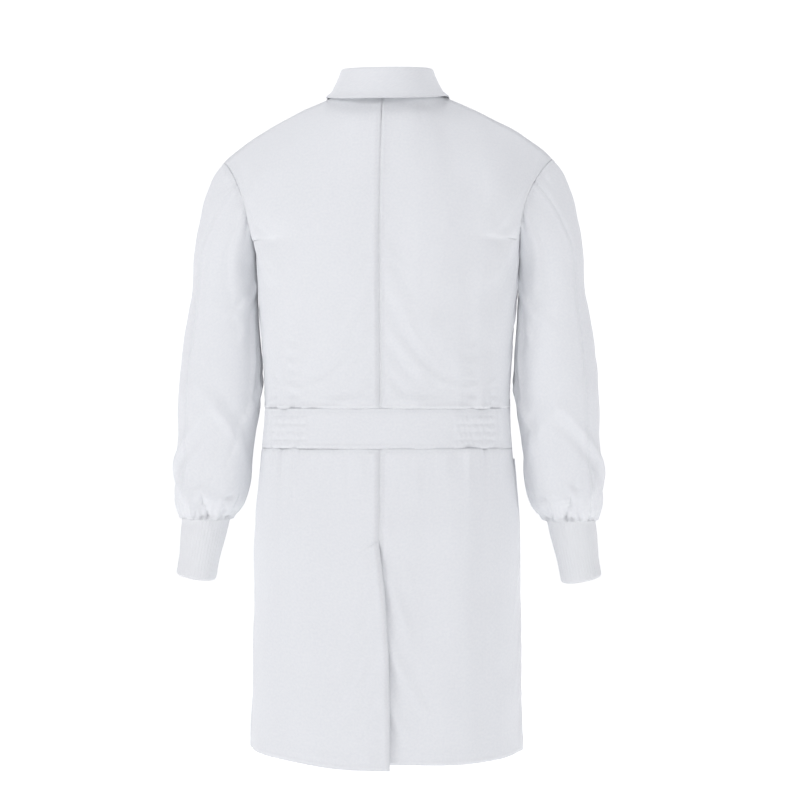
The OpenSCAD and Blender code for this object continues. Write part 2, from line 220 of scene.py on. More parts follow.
def crease(p, a, b, width, depth):
    """A fold along the line from a to b (x, z), seen from the back or the front."""
    a, b = np.array(a, float), np.array(b, float)
    q = p[..., [0, 2]] - a
    d = b - a
    t = np.clip((q @ d)/(d @ d), 0, 1)
    away = np.linalg.norm(q - t[..., None]*d, axis=-1)
    ends = np.sin(math.pi*np.clip(t, 0.02, 0.98))**0.7
    return depth*ends*np.exp(-(away/width)**2)


# Long folds of each half: from and to (x, z), width, and depth, which is below 0 for a hollow
BACK_CREASES = (((196, -205), (150, -300), 13, 4.2), ((204, -226), (172, -330), 9, -3.0),
                ((212, -168), (184, -262), 8, 3.4), ((96, -100), (176, -190), 22, -2.2),
                ((60, -330), (150, -470), 20, 2.4), ((110, -560), (128, -860), 20, 3.0),
                ((60, -600), (72, -960), 24, -2.4), ((172, -620), (182, -980), 16, 2.4))
FRONT_CREASES = (((190, -200), (130, -330), 14, 3.6), ((198, -226), (150, -360), 10, -2.6),
                 ((150, -420), (96, -560), 22, 2.2), ((160, -760), (168, -980), 20, 3.0),
                 ((118, -780), (124, -980), 20, -2.0), ((100, -70), (180, -170), 20, -2.0))


def waist_pinch(p):
    """The back band draws the coat in at the sides of the waist."""
    return 1.5*smooth((np.abs(p[..., 0]) - 90)/80)*hump(p[..., 2], -500, 60)


def body_folds(side, p, s=1):
    """How far the cloth of the body stands off its plain shape, on the wearer's left for s = 1."""
    z = p[..., 2]
    q = p*[s, 1, 1]
    f = 1.5*rumple(q*[1, 1, 0.28], 105) + 0.5*rumple(q*[1, 1, 0.6], 48) - waist_pinch(p)
    if side > 0:
        ax = np.abs(p[..., 0])
        shirr = hump(ax, 148, 30)
        puck = np.sin(ax*2*math.pi/13 + 1.7*np.sin(ax/9))
        below = np.exp(-np.maximum(BAND_LOW - z, 0)/38)*(z < BAND_LOW)
        above = np.exp(-np.maximum(z - BAND_TOP, 0)/30)*(z > BAND_TOP)
        f = f + 1.3*shirr*puck*(below + above)
        long_below = np.exp(-np.maximum(BAND_LOW - z, 0)/150)*(z < BAND_LOW)
        long_above = np.exp(-np.maximum(z - BAND_TOP, 0)/90)*(z > BAND_TOP)
        f = f + 3.2*shirr*(np.sin(ax*2*math.pi/41)*long_below + np.sin(ax*2*math.pi/37 + 1)*long_above)
    for mirror in (-1, 1):
        for (x1, z1), (x2, z2), width, depth in BACK_CREASES if side > 0 else FRONT_CREASES:
            f = f + crease(p, (mirror*x1, z1), (mirror*x2, z2), width, depth)
    return f


# ---------------------------------------------------------------- materials

# In metres: spacing of the twill lines, distance of a row of stitches from the edge, and one stitch with its gap
TWILL_PITCH, STITCH_IN, STITCH_LENGTH = 0.0009, 0.006, 0.0032
# Spacing of the knit's wales and courses
WALE, COURSE = 0.0030, 0.0016


def node_tree(name):
    m = bpy.data.materials.new(name)
    m.use_nodes = True
    t = m.node_tree
    return m, t, t.nodes["Principled BSDF"]


def link(t, a, b):
    t.links.new(a, b)


def math_node(t, op, a, b=None):
    n = t.nodes.new("ShaderNodeMath")
    n.operation = op
    for i, v in enumerate((a, b)):
        if v is None:
            continue
        if isinstance(v, (int, float)):
            n.inputs[i].default_value = v
        else:
            link(t, v, n.inputs[i])
    return n.outputs[0]


def cloth_material(name, tint):
    """Poly-cotton: a fine twill from the cloth's own UVs in metres, slubs, faint shading and stitches."""
    m, t, bsdf = node_tree(name)
    bsdf.inputs["Roughness"].default_value = 0.78
    bsdf.inputs["Specular IOR Level"].default_value = 0.25
    bsdf.inputs["Sheen Weight"].default_value = 0.12
    bsdf.inputs["Sheen Roughness"].default_value = 0.5
    uv = t.nodes.new("ShaderNodeUVMap")
    uv.uv_map = "cloth"
    sep = t.nodes.new("ShaderNodeSeparateXYZ")
    link(t, uv.outputs[0], sep.inputs[0])
    slant = math_node(t, "ADD", sep.outputs[0], math_node(t, "MULTIPLY", sep.outputs[1], 0.55))
    warp = math_node(t, "SINE", math_node(t, "MULTIPLY", slant, 2*math.pi/TWILL_PITCH))
    weft = math_node(t, "SINE", math_node(t, "MULTIPLY", sep.outputs[1], 2*math.pi/(TWILL_PITCH*0.7)))
    weave = math_node(t, "ADD", warp, math_node(t, "MULTIPLY", weft, 0.5))
    slub = t.nodes.new("ShaderNodeTexNoise")
    slub.inputs["Scale"].default_value = 260
    slub.inputs["Detail"].default_value = 4
    link(t, uv.outputs[0], slub.inputs["Vector"])
    crumple = t.nodes.new("ShaderNodeTexNoise")
    crumple.inputs["Scale"].default_value = 26
    crumple.inputs["Detail"].default_value = 5
    crumple.inputs["Roughness"].default_value = 0.55
    link(t, uv.outputs[0], crumple.inputs["Vector"])
    height = math_node(t, "ADD", math_node(t, "MULTIPLY", weave, 0.00003),
                       math_node(t, "ADD", math_node(t, "MULTIPLY", slub.outputs[0], 0.00012),
                                 math_node(t, "MULTIPLY", crumple.outputs[0], 0.0016)))
    edge = t.nodes.new("ShaderNodeUVMap")
    edge.uv_map = "edge"
    es = t.nodes.new("ShaderNodeSeparateXYZ")
    link(t, edge.outputs[0], es.inputs[0])
    gap = math_node(t, "ABSOLUTE", math_node(t, "SUBTRACT", es.outputs[0], STITCH_IN))
    line = math_node(t, "LESS_THAN", gap, 0.00045)
    dash = math_node(t, "GREATER_THAN", math_node(
        t, "SINE", math_node(t, "MULTIPLY", es.outputs[1], 2*math.pi/STITCH_LENGTH)), -0.35)
    thread = math_node(t, "MULTIPLY", line, dash)
    groove = math_node(t, "LESS_THAN", gap, 0.0014)
    height = math_node(t, "ADD", height, math_node(t, "SUBTRACT", math_node(
        t, "MULTIPLY", thread, 0.0005), math_node(t, "MULTIPLY", groove, 0.0004)))
    bump = t.nodes.new("ShaderNodeBump")
    bump.inputs["Strength"].default_value = 0.55
    bump.inputs["Distance"].default_value = 1.0
    link(t, height, bump.inputs["Height"])
    link(t, bump.outputs[0], bsdf.inputs["Normal"])
    ramp = t.nodes.new("ShaderNodeValToRGB")
    ramp.color_ramp.elements[0].position = 0.35
    ramp.color_ramp.elements[0].color = (tint[0]*0.955, tint[1]*0.96, tint[2]*0.97, 1)
    ramp.color_ramp.elements[1].position = 0.7
    ramp.color_ramp.elements[1].color = (*tint, 1)
    link(t, slub.outputs[0], ramp.inputs[0])
    link(t, ramp.outputs[0], bsdf.inputs["Base Color"])
    return m


def knit_material(name, tint):
    """Rib knit: v-shaped loops along each rib."""
    m, t, bsdf = node_tree(name)
    bsdf.inputs["Roughness"].default_value = 0.92
    bsdf.inputs["Specular IOR Level"].default_value = 0.15
    bsdf.inputs["Sheen Weight"].default_value = 0.3
    bsdf.inputs["Sheen Roughness"].default_value = 0.6
    uv = t.nodes.new("ShaderNodeUVMap")
    uv.uv_map = "cloth"
    sep = t.nodes.new("ShaderNodeSeparateXYZ")
    link(t, uv.outputs[0], sep.inputs[0])
    lean = math_node(t, "ABSOLUTE", math_node(
        t, "SINE", math_node(t, "MULTIPLY", sep.outputs[0], math.pi/WALE)))
    row = math_node(t, "SINE", math_node(
        t, "ADD", math_node(t, "MULTIPLY", sep.outputs[1], 2*math.pi/COURSE), math_node(t, "MULTIPLY", lean, 3.0)))
    fuzz = t.nodes.new("ShaderNodeTexNoise")
    fuzz.inputs["Scale"].default_value = 900
    fuzz.inputs["Detail"].default_value = 3
    link(t, uv.outputs[0], fuzz.inputs["Vector"])
    height = math_node(t, "ADD", math_node(t, "MULTIPLY", row, 0.00016),
                       math_node(t, "MULTIPLY", fuzz.outputs[0], 0.0003))
    bump = t.nodes.new("ShaderNodeBump")
    bump.inputs["Strength"].default_value = 0.6
    bump.inputs["Distance"].default_value = 1.0
    link(t, height, bump.inputs["Height"])
    link(t, bump.outputs[0], bsdf.inputs["Normal"])
    ramp = t.nodes.new("ShaderNodeValToRGB")
    ramp.color_ramp.elements[0].color = (tint[0]*0.93, tint[1]*0.935, tint[2]*0.94, 1)
    ramp.color_ramp.elements[1].position = 0.6
    ramp.color_ramp.elements[1].color = (*tint, 1)
    link(t, fuzz.outputs[0], ramp.inputs[0])
    link(t, ramp.outputs[0], bsdf.inputs["Base Color"])
    return m


def hard_material(name, colour, metal, rough, coat=0.0):
    """Moulded plastic or plated metal with fine scuffs."""
    m, t, bsdf = node_tree(name)
    bsdf.inputs["Metallic"].default_value = metal
    bsdf.inputs["Coat Weight"].default_value = coat
    geo = t.nodes.new("ShaderNodeTexCoord")
    scuff = t.nodes.new("ShaderNodeTexNoise")
    scuff.inputs["Scale"].default_value = 420
    scuff.inputs["Detail"].default_value = 6
    link(t, geo.outputs["Object"], scuff.inputs["Vector"])
    rr = t.nodes.new("ShaderNodeMapRange")
    rr.inputs["To Min"].default_value = rough*0.7
    rr.inputs["To Max"].default_value = rough*1.4
    link(t, scuff.outputs[0], rr.inputs["Value"])
    link(t, rr.outputs[0], bsdf.inputs["Roughness"])
    ramp = t.nodes.new("ShaderNodeValToRGB")
    ramp.color_ramp.elements[0].color = (*[c*0.93 for c in colour], 1)
    ramp.color_ramp.elements[1].color = (*colour, 1)
    link(t, scuff.outputs[0], ramp.inputs[0])
    link(t, ramp.outputs[0], bsdf.inputs["Base Color"])
    bump = t.nodes.new("ShaderNodeBump")
    bump.inputs["Strength"].default_value = 0.08
    bump.inputs["Distance"].default_value = 0.0004
    link(t, scuff.outputs[0], bump.inputs["Height"])
    link(t, bump.outputs[0], bsdf.inputs["Normal"])
    return m


COTTON = cloth_material("poly_cotton", (0.86, 0.87, 0.885))
KNIT = knit_material("rib_knit", (0.86, 0.87, 0.885))
ELASTIC = knit_material("elastic_tape", (0.78, 0.78, 0.77))
CAP = hard_material("snap_cap_plastic", (0.87, 0.87, 0.85), 0.0, 0.25, 0.4)
METAL = hard_material("snap_metal", (0.66, 0.67, 0.68), 1.0, 0.28)

# ---------------------------------------------------------------- meshes


def distances(p):
    """How far each point of a grid is from its first column and from its first row, along the cloth."""
    rows, cols = p.shape[:2]
    across = np.cumsum(np.linalg.norm(np.diff(p, axis=1), axis=-1), 1)
    along = np.cumsum(np.linalg.norm(np.diff(p, axis=0), axis=-1), 0)
    return np.concatenate([np.zeros((rows, 1)), across], 1), np.concatenate([np.zeros((1, cols)), along], 0)


def plain_object(name, p, wrap=False):
    """An object whose faces join the points of a grid, and close round it where wrap is set."""
    rows, cols = p.shape[:2]
    last = cols if wrap else cols - 1
    faces = [(j*cols + i, j*cols + (i + 1) % cols, (j + 1)*cols + (i + 1) % cols, (j + 1)*cols + i)
             for j in range(rows - 1) for i in range(last)]
    mesh = bpy.data.meshes.new(name)
    mesh.from_pydata((p*MM).reshape(-1, 3).tolist(), [], faces)
    obj = bpy.data.objects.new(name, mesh)
    bpy.context.scene.collection.objects.link(obj)
    return obj


def grid_mesh(name, p, material, outward, thickness=CLOTH, wrap=False):
    """A sheet of cloth over the grid of points p (rows, columns, xyz), which gets its thickness inwards."""
    obj = plain_object(name, p, wrap)
    mesh = obj.data
    across, along = distances(p)
    edge_u = np.minimum(across, across[:, -1:] - across)
    edge_v = np.minimum(along, along[-1:] - along)
    near = np.minimum(edge_u, edge_v) if not wrap else edge_v
    tangent = np.where(edge_u < edge_v, along, across)
    for layer, a, b in (("cloth", across, along), ("edge", near, tangent)):
        uv = mesh.uv_layers.new(name=layer)
        flat = np.stack([a.ravel(), b.ravel()], -1)*MM
        index = np.array([lp.vertex_index for lp in mesh.loops])
        uv.data.foreach_set("uv", flat[index].astype(np.float32).ravel())
    mesh.polygons.foreach_set("use_smooth", [True]*len(mesh.polygons))
    mesh.materials.append(material)
    mesh.update()
    facing = np.array([q.normal for q in mesh.polygons])
    centre = np.array([q.center for q in mesh.polygons])
    if (facing*outward(centre)).sum() < 0:
        mesh.flip_normals()
    solid = obj.modifiers.new("thickness", "SOLIDIFY")
    solid.thickness = thickness*MM
    solid.offset = -1
    solid.use_rim = True
    apply_modifiers(obj)
    return obj


def apply_modifiers(obj):
    bpy.context.view_layer.objects.active = obj
    for mod in list(obj.modifiers):
        with bpy.context.temp_override(object=obj, active_object=obj, selected_objects=[obj]):
            bpy.ops.object.modifier_apply(modifier=mod.name)


def from_axis(points):
    """Outward on the body: away from the vertical line through the origin."""
    return points*[1, 1, 0] + [0, 0, 0.02]


def spaced(a, b, step=GRID):
    """Evenly spaced numbers from a to b, about step apart."""
    return np.linspace(a, b, max(3, int(abs(b - a)/step) + 1))


def body_rows(low):
    """Rows from the height low up to the neck edge."""
    return np.concatenate([spaced(low, CHEST_Z - 2), np.linspace(0.002, 0.996, int(150/GRID))])


def seam_dip(across, total, width=2.0, depth=0.15):
    """Cloth turns in by depth at its two seamed edges."""
    return -depth*(np.exp(-(across/width)**2) + np.exp(-((total - across)/width)**2))


def soften(p, share, rounds=50):
    """Evens out creases that run down a panel, as far as share says, and keeps its two side edges."""
    for _ in range(rounds):
        even = p.copy()
        even[:, 1:-1] = 0.5*p[:, 1:-1] + 0.25*(p[:, :-2] + p[:, 2:])
        p = p + (even - p)*share[..., None]
    return p


def panel(side, start, stop, rows, lift=None, width=290.0, folds=1.0, dips=1.0, roll_hem=True, s=1):
    """The grid of a panel on the body, from u = start(z) to u = stop(z), with its folds, seams and hem.

    lift(p, z, k) adds to how far it stands off the body, where k runs from 0 to 1 across the panel."""
    k = np.linspace(0, 1, max(4, int(width/GRID)))
    v = rows[:, None] + 0*k[None]
    z = np.where(v < 0, v, CHEST_Z)
    a, b = start(z), stop(z)
    u = mix(a, b, k[None] + 0*v)
    p = soften(body(side, u, v), smooth((v - 0.05)/0.3)*smooth((1 - v)/0.10))
    n = normals(p, p*[1, 1, 0])
    across, _ = distances(p)
    f = folds*body_folds(side, p, s) + CLOTH + dips*seam_dip(across, across[:, -1:])
    from_band = np.minimum(np.abs(v - BAND_TOP), np.abs(v - BAND_LOW))
    f = f - 0.8*np.exp(-(from_band/3.0)**2)*(side > 0)
    if roll_hem:
        up = p[..., 2] - p[..., 2].min(axis=0, keepdims=True)
        f = f - 0.7*hump(up, HEM_WIDTH, 2.2) + 0.5*(up < HEM_WIDTH)
    if lift is not None:
        f = f + lift(p, z, k[None])
    return p + n*f[..., None]


def finish_sheet(nodes):
    """Hides the CAD nodes that a hung sheet of the coat's cotton stands for."""
    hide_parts(*nodes)


# ---------------------------------------------------------------- cloth simulation

SIM_FRAMES = 20
MOST_INWARD = 1.2
GROWTH, SLEEVE_GROWTH = 0.008, 0.03   # spare cloth, as a share of a panel's size


def drape(p, pin, grow, outward=None, cap=4.0, gap=5.0, wrap=False):
    """How far the cloth moves as it hangs: it grows by the share grow and buckles between its pinned places.

    A form gap millimetres inside the cloth stands for the wearer's body. Only the movement straight out or in
    is kept, up to about cap millimetres out and MOST_INWARD in."""
    n = normals(p, p*[1, 1, 0] if outward is None else outward)
    sheet = plain_object("sim_sheet", p, wrap)
    form = plain_object("sim_form", p - n*gap, wrap)
    form.data.update()
    some = list(form.data.polygons)[::50]
    facing = np.array([q.normal for q in some])
    nearest = n.reshape(-1, 3)[[q.vertices[0] for q in some]]
    if (facing*nearest).sum() < 0:
        form.data.flip_normals()
    form.modifiers.new("collision", "COLLISION")
    form.collision.thickness_outer = 0.001
    form.collision.cloth_friction = 8
    group = sheet.vertex_groups.new(name="pin")
    flat_pin = np.clip(pin, 0, 1).ravel()
    for level in range(0, 11):
        members = np.nonzero(np.round(flat_pin*10) == level)[0]
        if level and len(members):
            group.add(members.tolist(), level/10, "REPLACE")
    cloth = sheet.modifiers.new("cloth", "CLOTH")
    st = cloth.settings
    st.quality = 5
    st.mass = 0.15
    st.tension_stiffness = st.compression_stiffness = 30
    st.shear_stiffness = 4
    st.bending_stiffness = 0.35
    st.air_damping = 2
    st.vertex_group_mass = "pin"
    st.shrink_min = -grow
    cloth.collision_settings.distance_min = 0.001
    cloth.collision_settings.collision_quality = 2
    cloth.point_cache.frame_start = 1
    cloth.point_cache.frame_end = SIM_FRAMES
    scene = bpy.context.scene
    for frame_number in range(1, SIM_FRAMES + 1):
        scene.frame_set(frame_number)
    done = sheet.evaluated_get(bpy.context.evaluated_depsgraph_get())
    out = np.empty(len(done.data.vertices)*3, np.float32)
    done.data.vertices.foreach_get("co", out)
    out = out.reshape(p.shape)/MM
    scene.frame_set(1)
    for obj in (sheet, form):
        bpy.data.objects.remove(obj)
    far = ((out - p)*n).sum(-1, keepdims=True)
    return n*cap*np.tanh(np.maximum(far, -MOST_INWARD)/cap)


def edge_pin(p, sides=(1, 1, 1, 1), reach=14.0):
    """Pin weights that fade inward from the low, high, first and last edges of a grid."""
    across, along = distances(p)
    pin = np.zeros(p.shape[:2])
    for wanted, d in zip(sides, (along, along[-1:] - along, across, across[:, -1:] - across)):
        pin = np.maximum(pin, wanted*(1 - smooth(d/reach)))
    return pin


# ---------------------------------------------------------------- back

def build_back():
    hang = None
    for s, tag in ((1, "left"), (-1, "right")):
        p = panel(1, lambda z: 0*z, lambda z: 0*z + 1, body_rows(BAND_TOP + 0.5), roll_hem=False, s=s)
        hang = drape(p, edge_pin(p), GROWTH) if hang is None else hang
        obj = grid_mesh(f"back_{tag}_cloth", (p + hang)*[s, 1, 1], COTTON, outward=from_axis)
        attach(obj, "torso")
        finish_sheet([f"back_{tag}"])


# ---------------------------------------------------------------- skirt and vent

HEM_STEP = 4.0               # at the vent the left hem hangs this much low, and the right one high


def skirt_points(s):
    """A skirt panel with its vent edge. Both are made on the wearer's left; s = -1 is the right one's shape."""
    rows = spaced(HEM_Z, BAND_LOW - 0.5)

    def centre(z):
        down = np.clip((VENT_OPEN - z)/(VENT_OPEN - HEM_Z), 0, 1)
        return -u_of(VENT_LAP*(1 - (1 - down)**3), z)

    def lift(p, z, k):
        f = 0*p[..., 0]
        near = smooth(1.25 - 3.2*k)*smooth((VENT_OPEN + 12 - z)/50)
        if s > 0:
            f = f + (3.0 + 2.4*smooth((VENT_TOP - z)/300))*near
            edge = (p[..., 0] - p[..., :1, 0])*(z < VENT_OPEN)
            f = f + 0.7*(z < VENT_OPEN)*smooth((VENT_FACING - edge)/1.5) - 0.5*hump(edge, VENT_FACING, 1.6)
        else:
            f = f - 0.8*near
        return f
    p = panel(1, centre, lambda z: 0*z + 1, rows, lift=lift, s=s)
    k = np.linspace(0, 1, p.shape[1])[None]
    p[..., 2] -= s*HEM_STEP*smooth((HIP_Z - p[..., 2])/300)*smooth(1.1 - 2.2*k)
    return p


def build_vent_stitch():
    """The short slanting row of stitches that holds the vent's facing at its top."""
    t = np.linspace(0, 1, 60)
    w = np.linspace(-0.8, 0.8, 5)
    ww, tt = np.meshgrid(w, t, indexing="ij")
    x = mix(2.0, 29.0, tt) + 0.4*ww
    z = mix(VENT_OPEN + 3, VENT_OPEN - 9, tt) + 0.9*ww
    stitch = np.maximum(np.sin(tt*2*math.pi*9), -0.2)
    p = body(1, u_of(x, z), z)
    n = normals(p, p*[1, 1, 0])
    bulge = np.sqrt(np.clip(1 - (ww/0.85)**2, 0, 1))
    p = p + n*(CLOTH + body_folds(1, p) + 0.7 + 0.55*bulge*stitch)[..., None]
    obj = grid_mesh("vent_top_stitches", p, COTTON, thickness=0.4, outward=from_axis)
    blend_fold(obj, "vent_outer")


def build_skirt():
    hang = None
    for s, tag, child in ((1, "left", "vent_outer"), (-1, "right", "vent_inner")):
        p = skirt_points(s)
        hang = drape(p, edge_pin(p, (0.0, 1, 0.75, 1)), GROWTH) if hang is None else hang
        obj = grid_mesh(f"skirt_back_{tag}_cloth", (p + hang)*[s, 1, 1], COTTON, outward=from_axis)
        finish_sheet([f"skirt_back_{tag}", f"vent_flap_{tag}"])
        blend_fold(obj, child)


def joint_of(child):
    return next(j for j in frame["joints"] if j["child"] == child)


def blend_fold(obj, child):
    """Looks up the fold line of the joint that moves child and bakes the object's transform into its mesh; the
    cloth is not bent.
    """
    j = joint_of(child)
    pos, axis = Vector(j["pos_m"]), Vector(j["axis"]).normalized()
    across = Vector((-1 if pos.x > 0 else 1, 0, 0))
    across = (across - axis*across.dot(axis)).normalized()
    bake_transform(obj)


# ---------------------------------------------------------------- fronts

def build_fronts():
    hang = None
    for s, tag in ((1, "left"), (-1, "right")):
        def lift(p, z, k, s=s):
            x = np.abs(p[..., 0])
            return LAP_LIFT*(1 - smooth((x - 25)/45)) if s > 0 else 0*x
        p = panel(-1, lambda z: -u_of(LAP + 0*z, z), lambda z: 0*z + 1, body_rows(HEM_Z),
                  lift=lift, width=330, folds=0.8, s=s)
        if hang is None:
            pin = np.maximum(edge_pin(p, (0.0, 1, 1, 1)), 0.9*smooth((60 - p[..., 0])/30))
            hang = drape(p, pin, GROWTH)
        obj = grid_mesh(f"front_{tag}_cloth", (p + hang)*[s, 1, 1], COTTON, outward=from_axis)
        finish_sheet([f"front_{tag}", f"front_{tag}_flap"])
        blend_fold(obj, f"front_{tag}_opening")


POCKET_BULGE = 7.0


def pocket_points(s, start, stop, low, high):
    """A patch pocket on the front: it stands off most at its mouth."""
    rows = spaced(low, high, GRID*0.8)

    def lift(p, z, k):
        side_in = np.sin(math.pi*np.clip(k, 0.0001, 0.9999))**0.5
        return 1.6 + POCKET_BULGE*side_in*smooth((z - low + 1)/70)**0.8
    p = panel(-1, start, stop, rows, lift=lift, width=150, folds=0.8, dips=0.0, roll_hem=False)
    return p*[s, 1, 1]


def build_pockets():
    hip = (lambda z: u_of(92 + 0*z, z), lambda z: 0*z + 0.88, -745, -560, (0.16, 0.19))
    chest = (lambda z: u_of(72 + 0*z, z), lambda z: u_of(158 + 0*z, z), -352, -226, (0.10, 0.13))
    for name, s, place in (("hip_pocket_left", 1, hip), ("hip_pocket_right", -1, hip), ("chest_pocket", 1, chest)):
        start, stop, low, high, flat = place
        p = pocket_points(s, start, stop, low, high)
        obj = grid_mesh(f"{name}_cloth", p, COTTON, outward=from_axis)
        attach(obj, "torso")
        finish_sheet([name])


# ---------------------------------------------------------------- waistband

SHIRR_IN, SHIRR_OUT = 110, 172   # the shirred casings lie between these x
CHANNELS, CHANNEL_SHARE = 4, 0.82  # channels over the lower share of the band


def build_band():
    rows = spaced(BAND_LOW - 1.2, BAND_TOP + 1.2, GRID*0.4)
    k = np.linspace(0, 1, int(460/(GRID*0.45)))
    v = rows[:, None] + 0*k[None]
    p = body(1, mix(-0.999, 0.999, k[None] + 0*v), v)
    n = normals(p, p*[1, 1, 0])
    x = np.abs(p[..., 0])
    t = (v - BAND_LOW)/(BAND_TOP - BAND_LOW)
    shirr = smooth((x - SHIRR_IN)/4)*smooth((SHIRR_OUT - x)/4)
    ends = np.minimum(t, 1 - t)
    channel = np.abs(np.sin(math.pi*CHANNELS*np.clip(t/CHANNEL_SHARE, 0, 1)))
    puck = np.sin(x*2*math.pi/9 + 1.3*np.sin(x/5) + 2.2*np.floor(CHANNELS*t/CHANNEL_SHARE))
    f = 1.6 + 0.35*rumple(p, 60) - waist_pinch(p)
    f = f - 0.6*np.exp(-(ends*(BAND_TOP - BAND_LOW)/2.0)**2)
    f = f + shirr*(1.7*channel**0.6 - 1.0 + 0.5*puck*channel**0.6)
    f = f - 0.4*hump(x, SHIRR_IN - 1, 1.6) - 0.7*hump(x, SHIRR_OUT + 3, 1.6)
    p = p + n*f[..., None]
    obj = grid_mesh("waistband_cloth", p, COTTON, outward=from_axis)
    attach(obj, "torso")
    finish_sheet(["waistband_outer"])
    q = body(1, mix(-0.93, 0.93, k[None] + 0*v), v)
    x = q[..., :1]
    depth = 1.6 + waist_pinch(q)[..., None] + 0.6*np.sin(x/7)*smooth((np.abs(x) - 121)/10)
    q = q - normals(q, q*[1, 1, 0])*depth
    for s, tag in ((1, "left"), (-1, "right")):
        u = np.linspace(0.42, 0.86, int(90/GRID))
        w = spaced(BAND_LOW + 5, BAND_TOP - 5)[:, None] + 0*u[None]
        tape = body(1, u[None] + 0*w, w)
        tape = tape - normals(tape, tape*[1, 1, 0])*(0.4 + waist_pinch(tape)[..., None])
        obj = grid_mesh(f"elastic_{tag}_tape", tape*[s, 1, 1], ELASTIC, thickness=0.8, outward=from_axis)
        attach(obj, "torso")
        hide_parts(f"elastic_{tag}")
    lining = grid_mesh("waistband_lining", q, COTTON, outward=from_axis)
    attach(lining, "torso")
    finish_sheet(["waistband_inner"])


# ---------------------------------------------------------------- sleeves

SLEEVE_TOP, CUFF_TOP, ELBOW = -260.0, -654.0, -470.0
SLEEVE_SEAMS = (46, 314)     # degrees round the sleeve
# Sharp pleats above the cuff: place in radians, lean, depth and reach in millimetres
PLEATS = ((1.15, 0.35, 7.0, 22), (1.75, -0.30, 8.0, 30), (2.30, 0.45, 6.0, 16), (2.85, -0.2, 6.0, 16),
          (0.45, -0.25, 6.0, 20), (4.10, 0.30, 6.5, 22), (4.80, -0.35, 6.5, 24), (5.50, 0.25, 6.0, 18))


# Long folds round the sleeve: place in radians, lean, depth, height and reach in millimetres
SLEEVE_CREASES = ((0.3, 1.5, 4.5, -560, 70), (1.9, -1.3, 3.8, -500, 60), (3.4, 1.2, 4.0, -420, 70),
                  (5.0, -1.6, 3.6, -350, 60), (2.7, 1.8, 3.2, -300, 50), (0.9, -1.1, 3.0, -610, 40))


def sleeve_x(z):
    """Where the sleeve's axis is at height z, on the wearer's left."""
    a = mix(257, 264, smooth((SLEEVE_TOP - z)/(SLEEVE_TOP - ELBOW)))
    return np.where(z > ELBOW, a, 264 + 19*(np.maximum(ELBOW - z, 0)/(ELBOW - CUFF_TOP))**1.3)


def sleeve_r(z):
    a = mix(98, 128, smooth((SLEEVE_TOP - z)/(SLEEVE_TOP - ELBOW)*1.1))/2
    k = np.maximum((ELBOW - 40 - z)/(ELBOW - 40 - CUFF_TOP), 0)
    low = mix(64, 60.5, smooth((ELBOW - z)/60))
    return np.where(z > ELBOW, a, mix(low, 38.5, np.clip(k, 0, 1)**5))


def tube(q, z):
    r = sleeve_r(z)
    # The side next to the body hangs straighter
    slim = 6*hump(z, -530, 75)*smooth(-np.cos(q))
    return np.stack([sleeve_x(z) + (r - slim)*np.cos(q), 0.82*r*np.sin(q), z + 0*q], -1)


def sleeve_surface(q, h):
    """q is the angle round the sleeve, h below 0 is a height, h from 0 to 1 runs up the sleeve head."""
    deg = np.degrees(q) % 360
    side = np.where(deg < 180, 1.0, -1.0)[..., None]
    v = 1 - np.where(deg < 180, deg, 360 - deg)/180
    arm = np.where(side > 0, arm_edge(1, v), arm_edge(-1, v))
    d = unit(np.stack([0.88 + 0*q, 0.12*np.sin(q), -0.48 - 0.3*(1 - np.cos(q))], -1))
    low = tube(q, np.full_like(q, SLEEVE_TOP))
    a = arm + 0.2*d
    length = np.linalg.norm(low - a, axis=-1, keepdims=True)
    t = (1 - np.clip(h, 0, 1))[..., None]
    lift = np.array([0, 0, 1.0])
    p0, p1, p2, p3 = a, a + 0.15*length*d, low + 0.35*length*lift, low
    head = p0*(1 - t)**3 + 3*p1*t*(1 - t)**2 + 3*p2*t*t*(1 - t) + p3*t**3
    return np.where((h < 0)[..., None], tube(q, np.minimum(h, SLEEVE_TOP)), head)


def round_angle(a):
    """The same angle, between half a turn back and half a turn on."""
    return np.angle(np.exp(1j*a))


def sleeve_folds(p, q, h):
    """How far the sleeve's cloth stands off its plain shape: rumples, gathers, pleats, creases and seams."""
    z = p[..., 2]
    above_cuff = np.maximum(z - CUFF_TOP, 0)
    f = 1.2*rumple(p*[1, 1, 0.7], 110) + 0.5*rumple(p, 52)
    gather = np.exp(-above_cuff/24)
    f = f + gather*(2.6*np.sin(q*13 + 1.8*np.sin(3*q)) + 1.3*np.sin(q*27 + 2))
    for place, slope, depth, reach in PLEATS:
        turn = round_angle(q - place - slope*(z - CUFF_TOP)/40)
        f = f - depth*np.exp(-(turn/0.075)**2)*np.exp(-above_cuff/reach)
    f = f + 2.6*np.exp(-above_cuff/70)*np.sin(q*7 + 0.8*np.sin(2*q))
    for place, slope, depth, mid, reach in SLEEVE_CREASES:
        turn = round_angle(q - place - slope*(z - mid)/100)
        f = f + depth*np.exp(-(turn/0.20)**2)*hump(z, mid, reach)
        f = f - 0.6*depth*np.exp(-((turn - 0.42)/0.20)**2)*hump(z, mid, reach)
    cap = np.clip(h, 0, 1)
    near = np.exp(-((1 - cap)/0.12)**2)*(h > 0)
    f = f*(1 - smooth((cap - 0.75)/0.25)) - 0.15*near
    f = f + 1.2*(h > 0)*hump(cap, 0.86, 0.08)*np.sin(q*9)
    for seam in SLEEVE_SEAMS:
        gap = np.abs(round_angle(q - math.radians(seam)))*sleeve_r(np.minimum(z, SLEEVE_TOP))
        f = f - 1.3*np.exp(-(gap/2.2)**2) + 0.7*np.exp(-((gap - 6)/4)**2)
    return f*smooth((z - CUFF_TOP)/3.5)


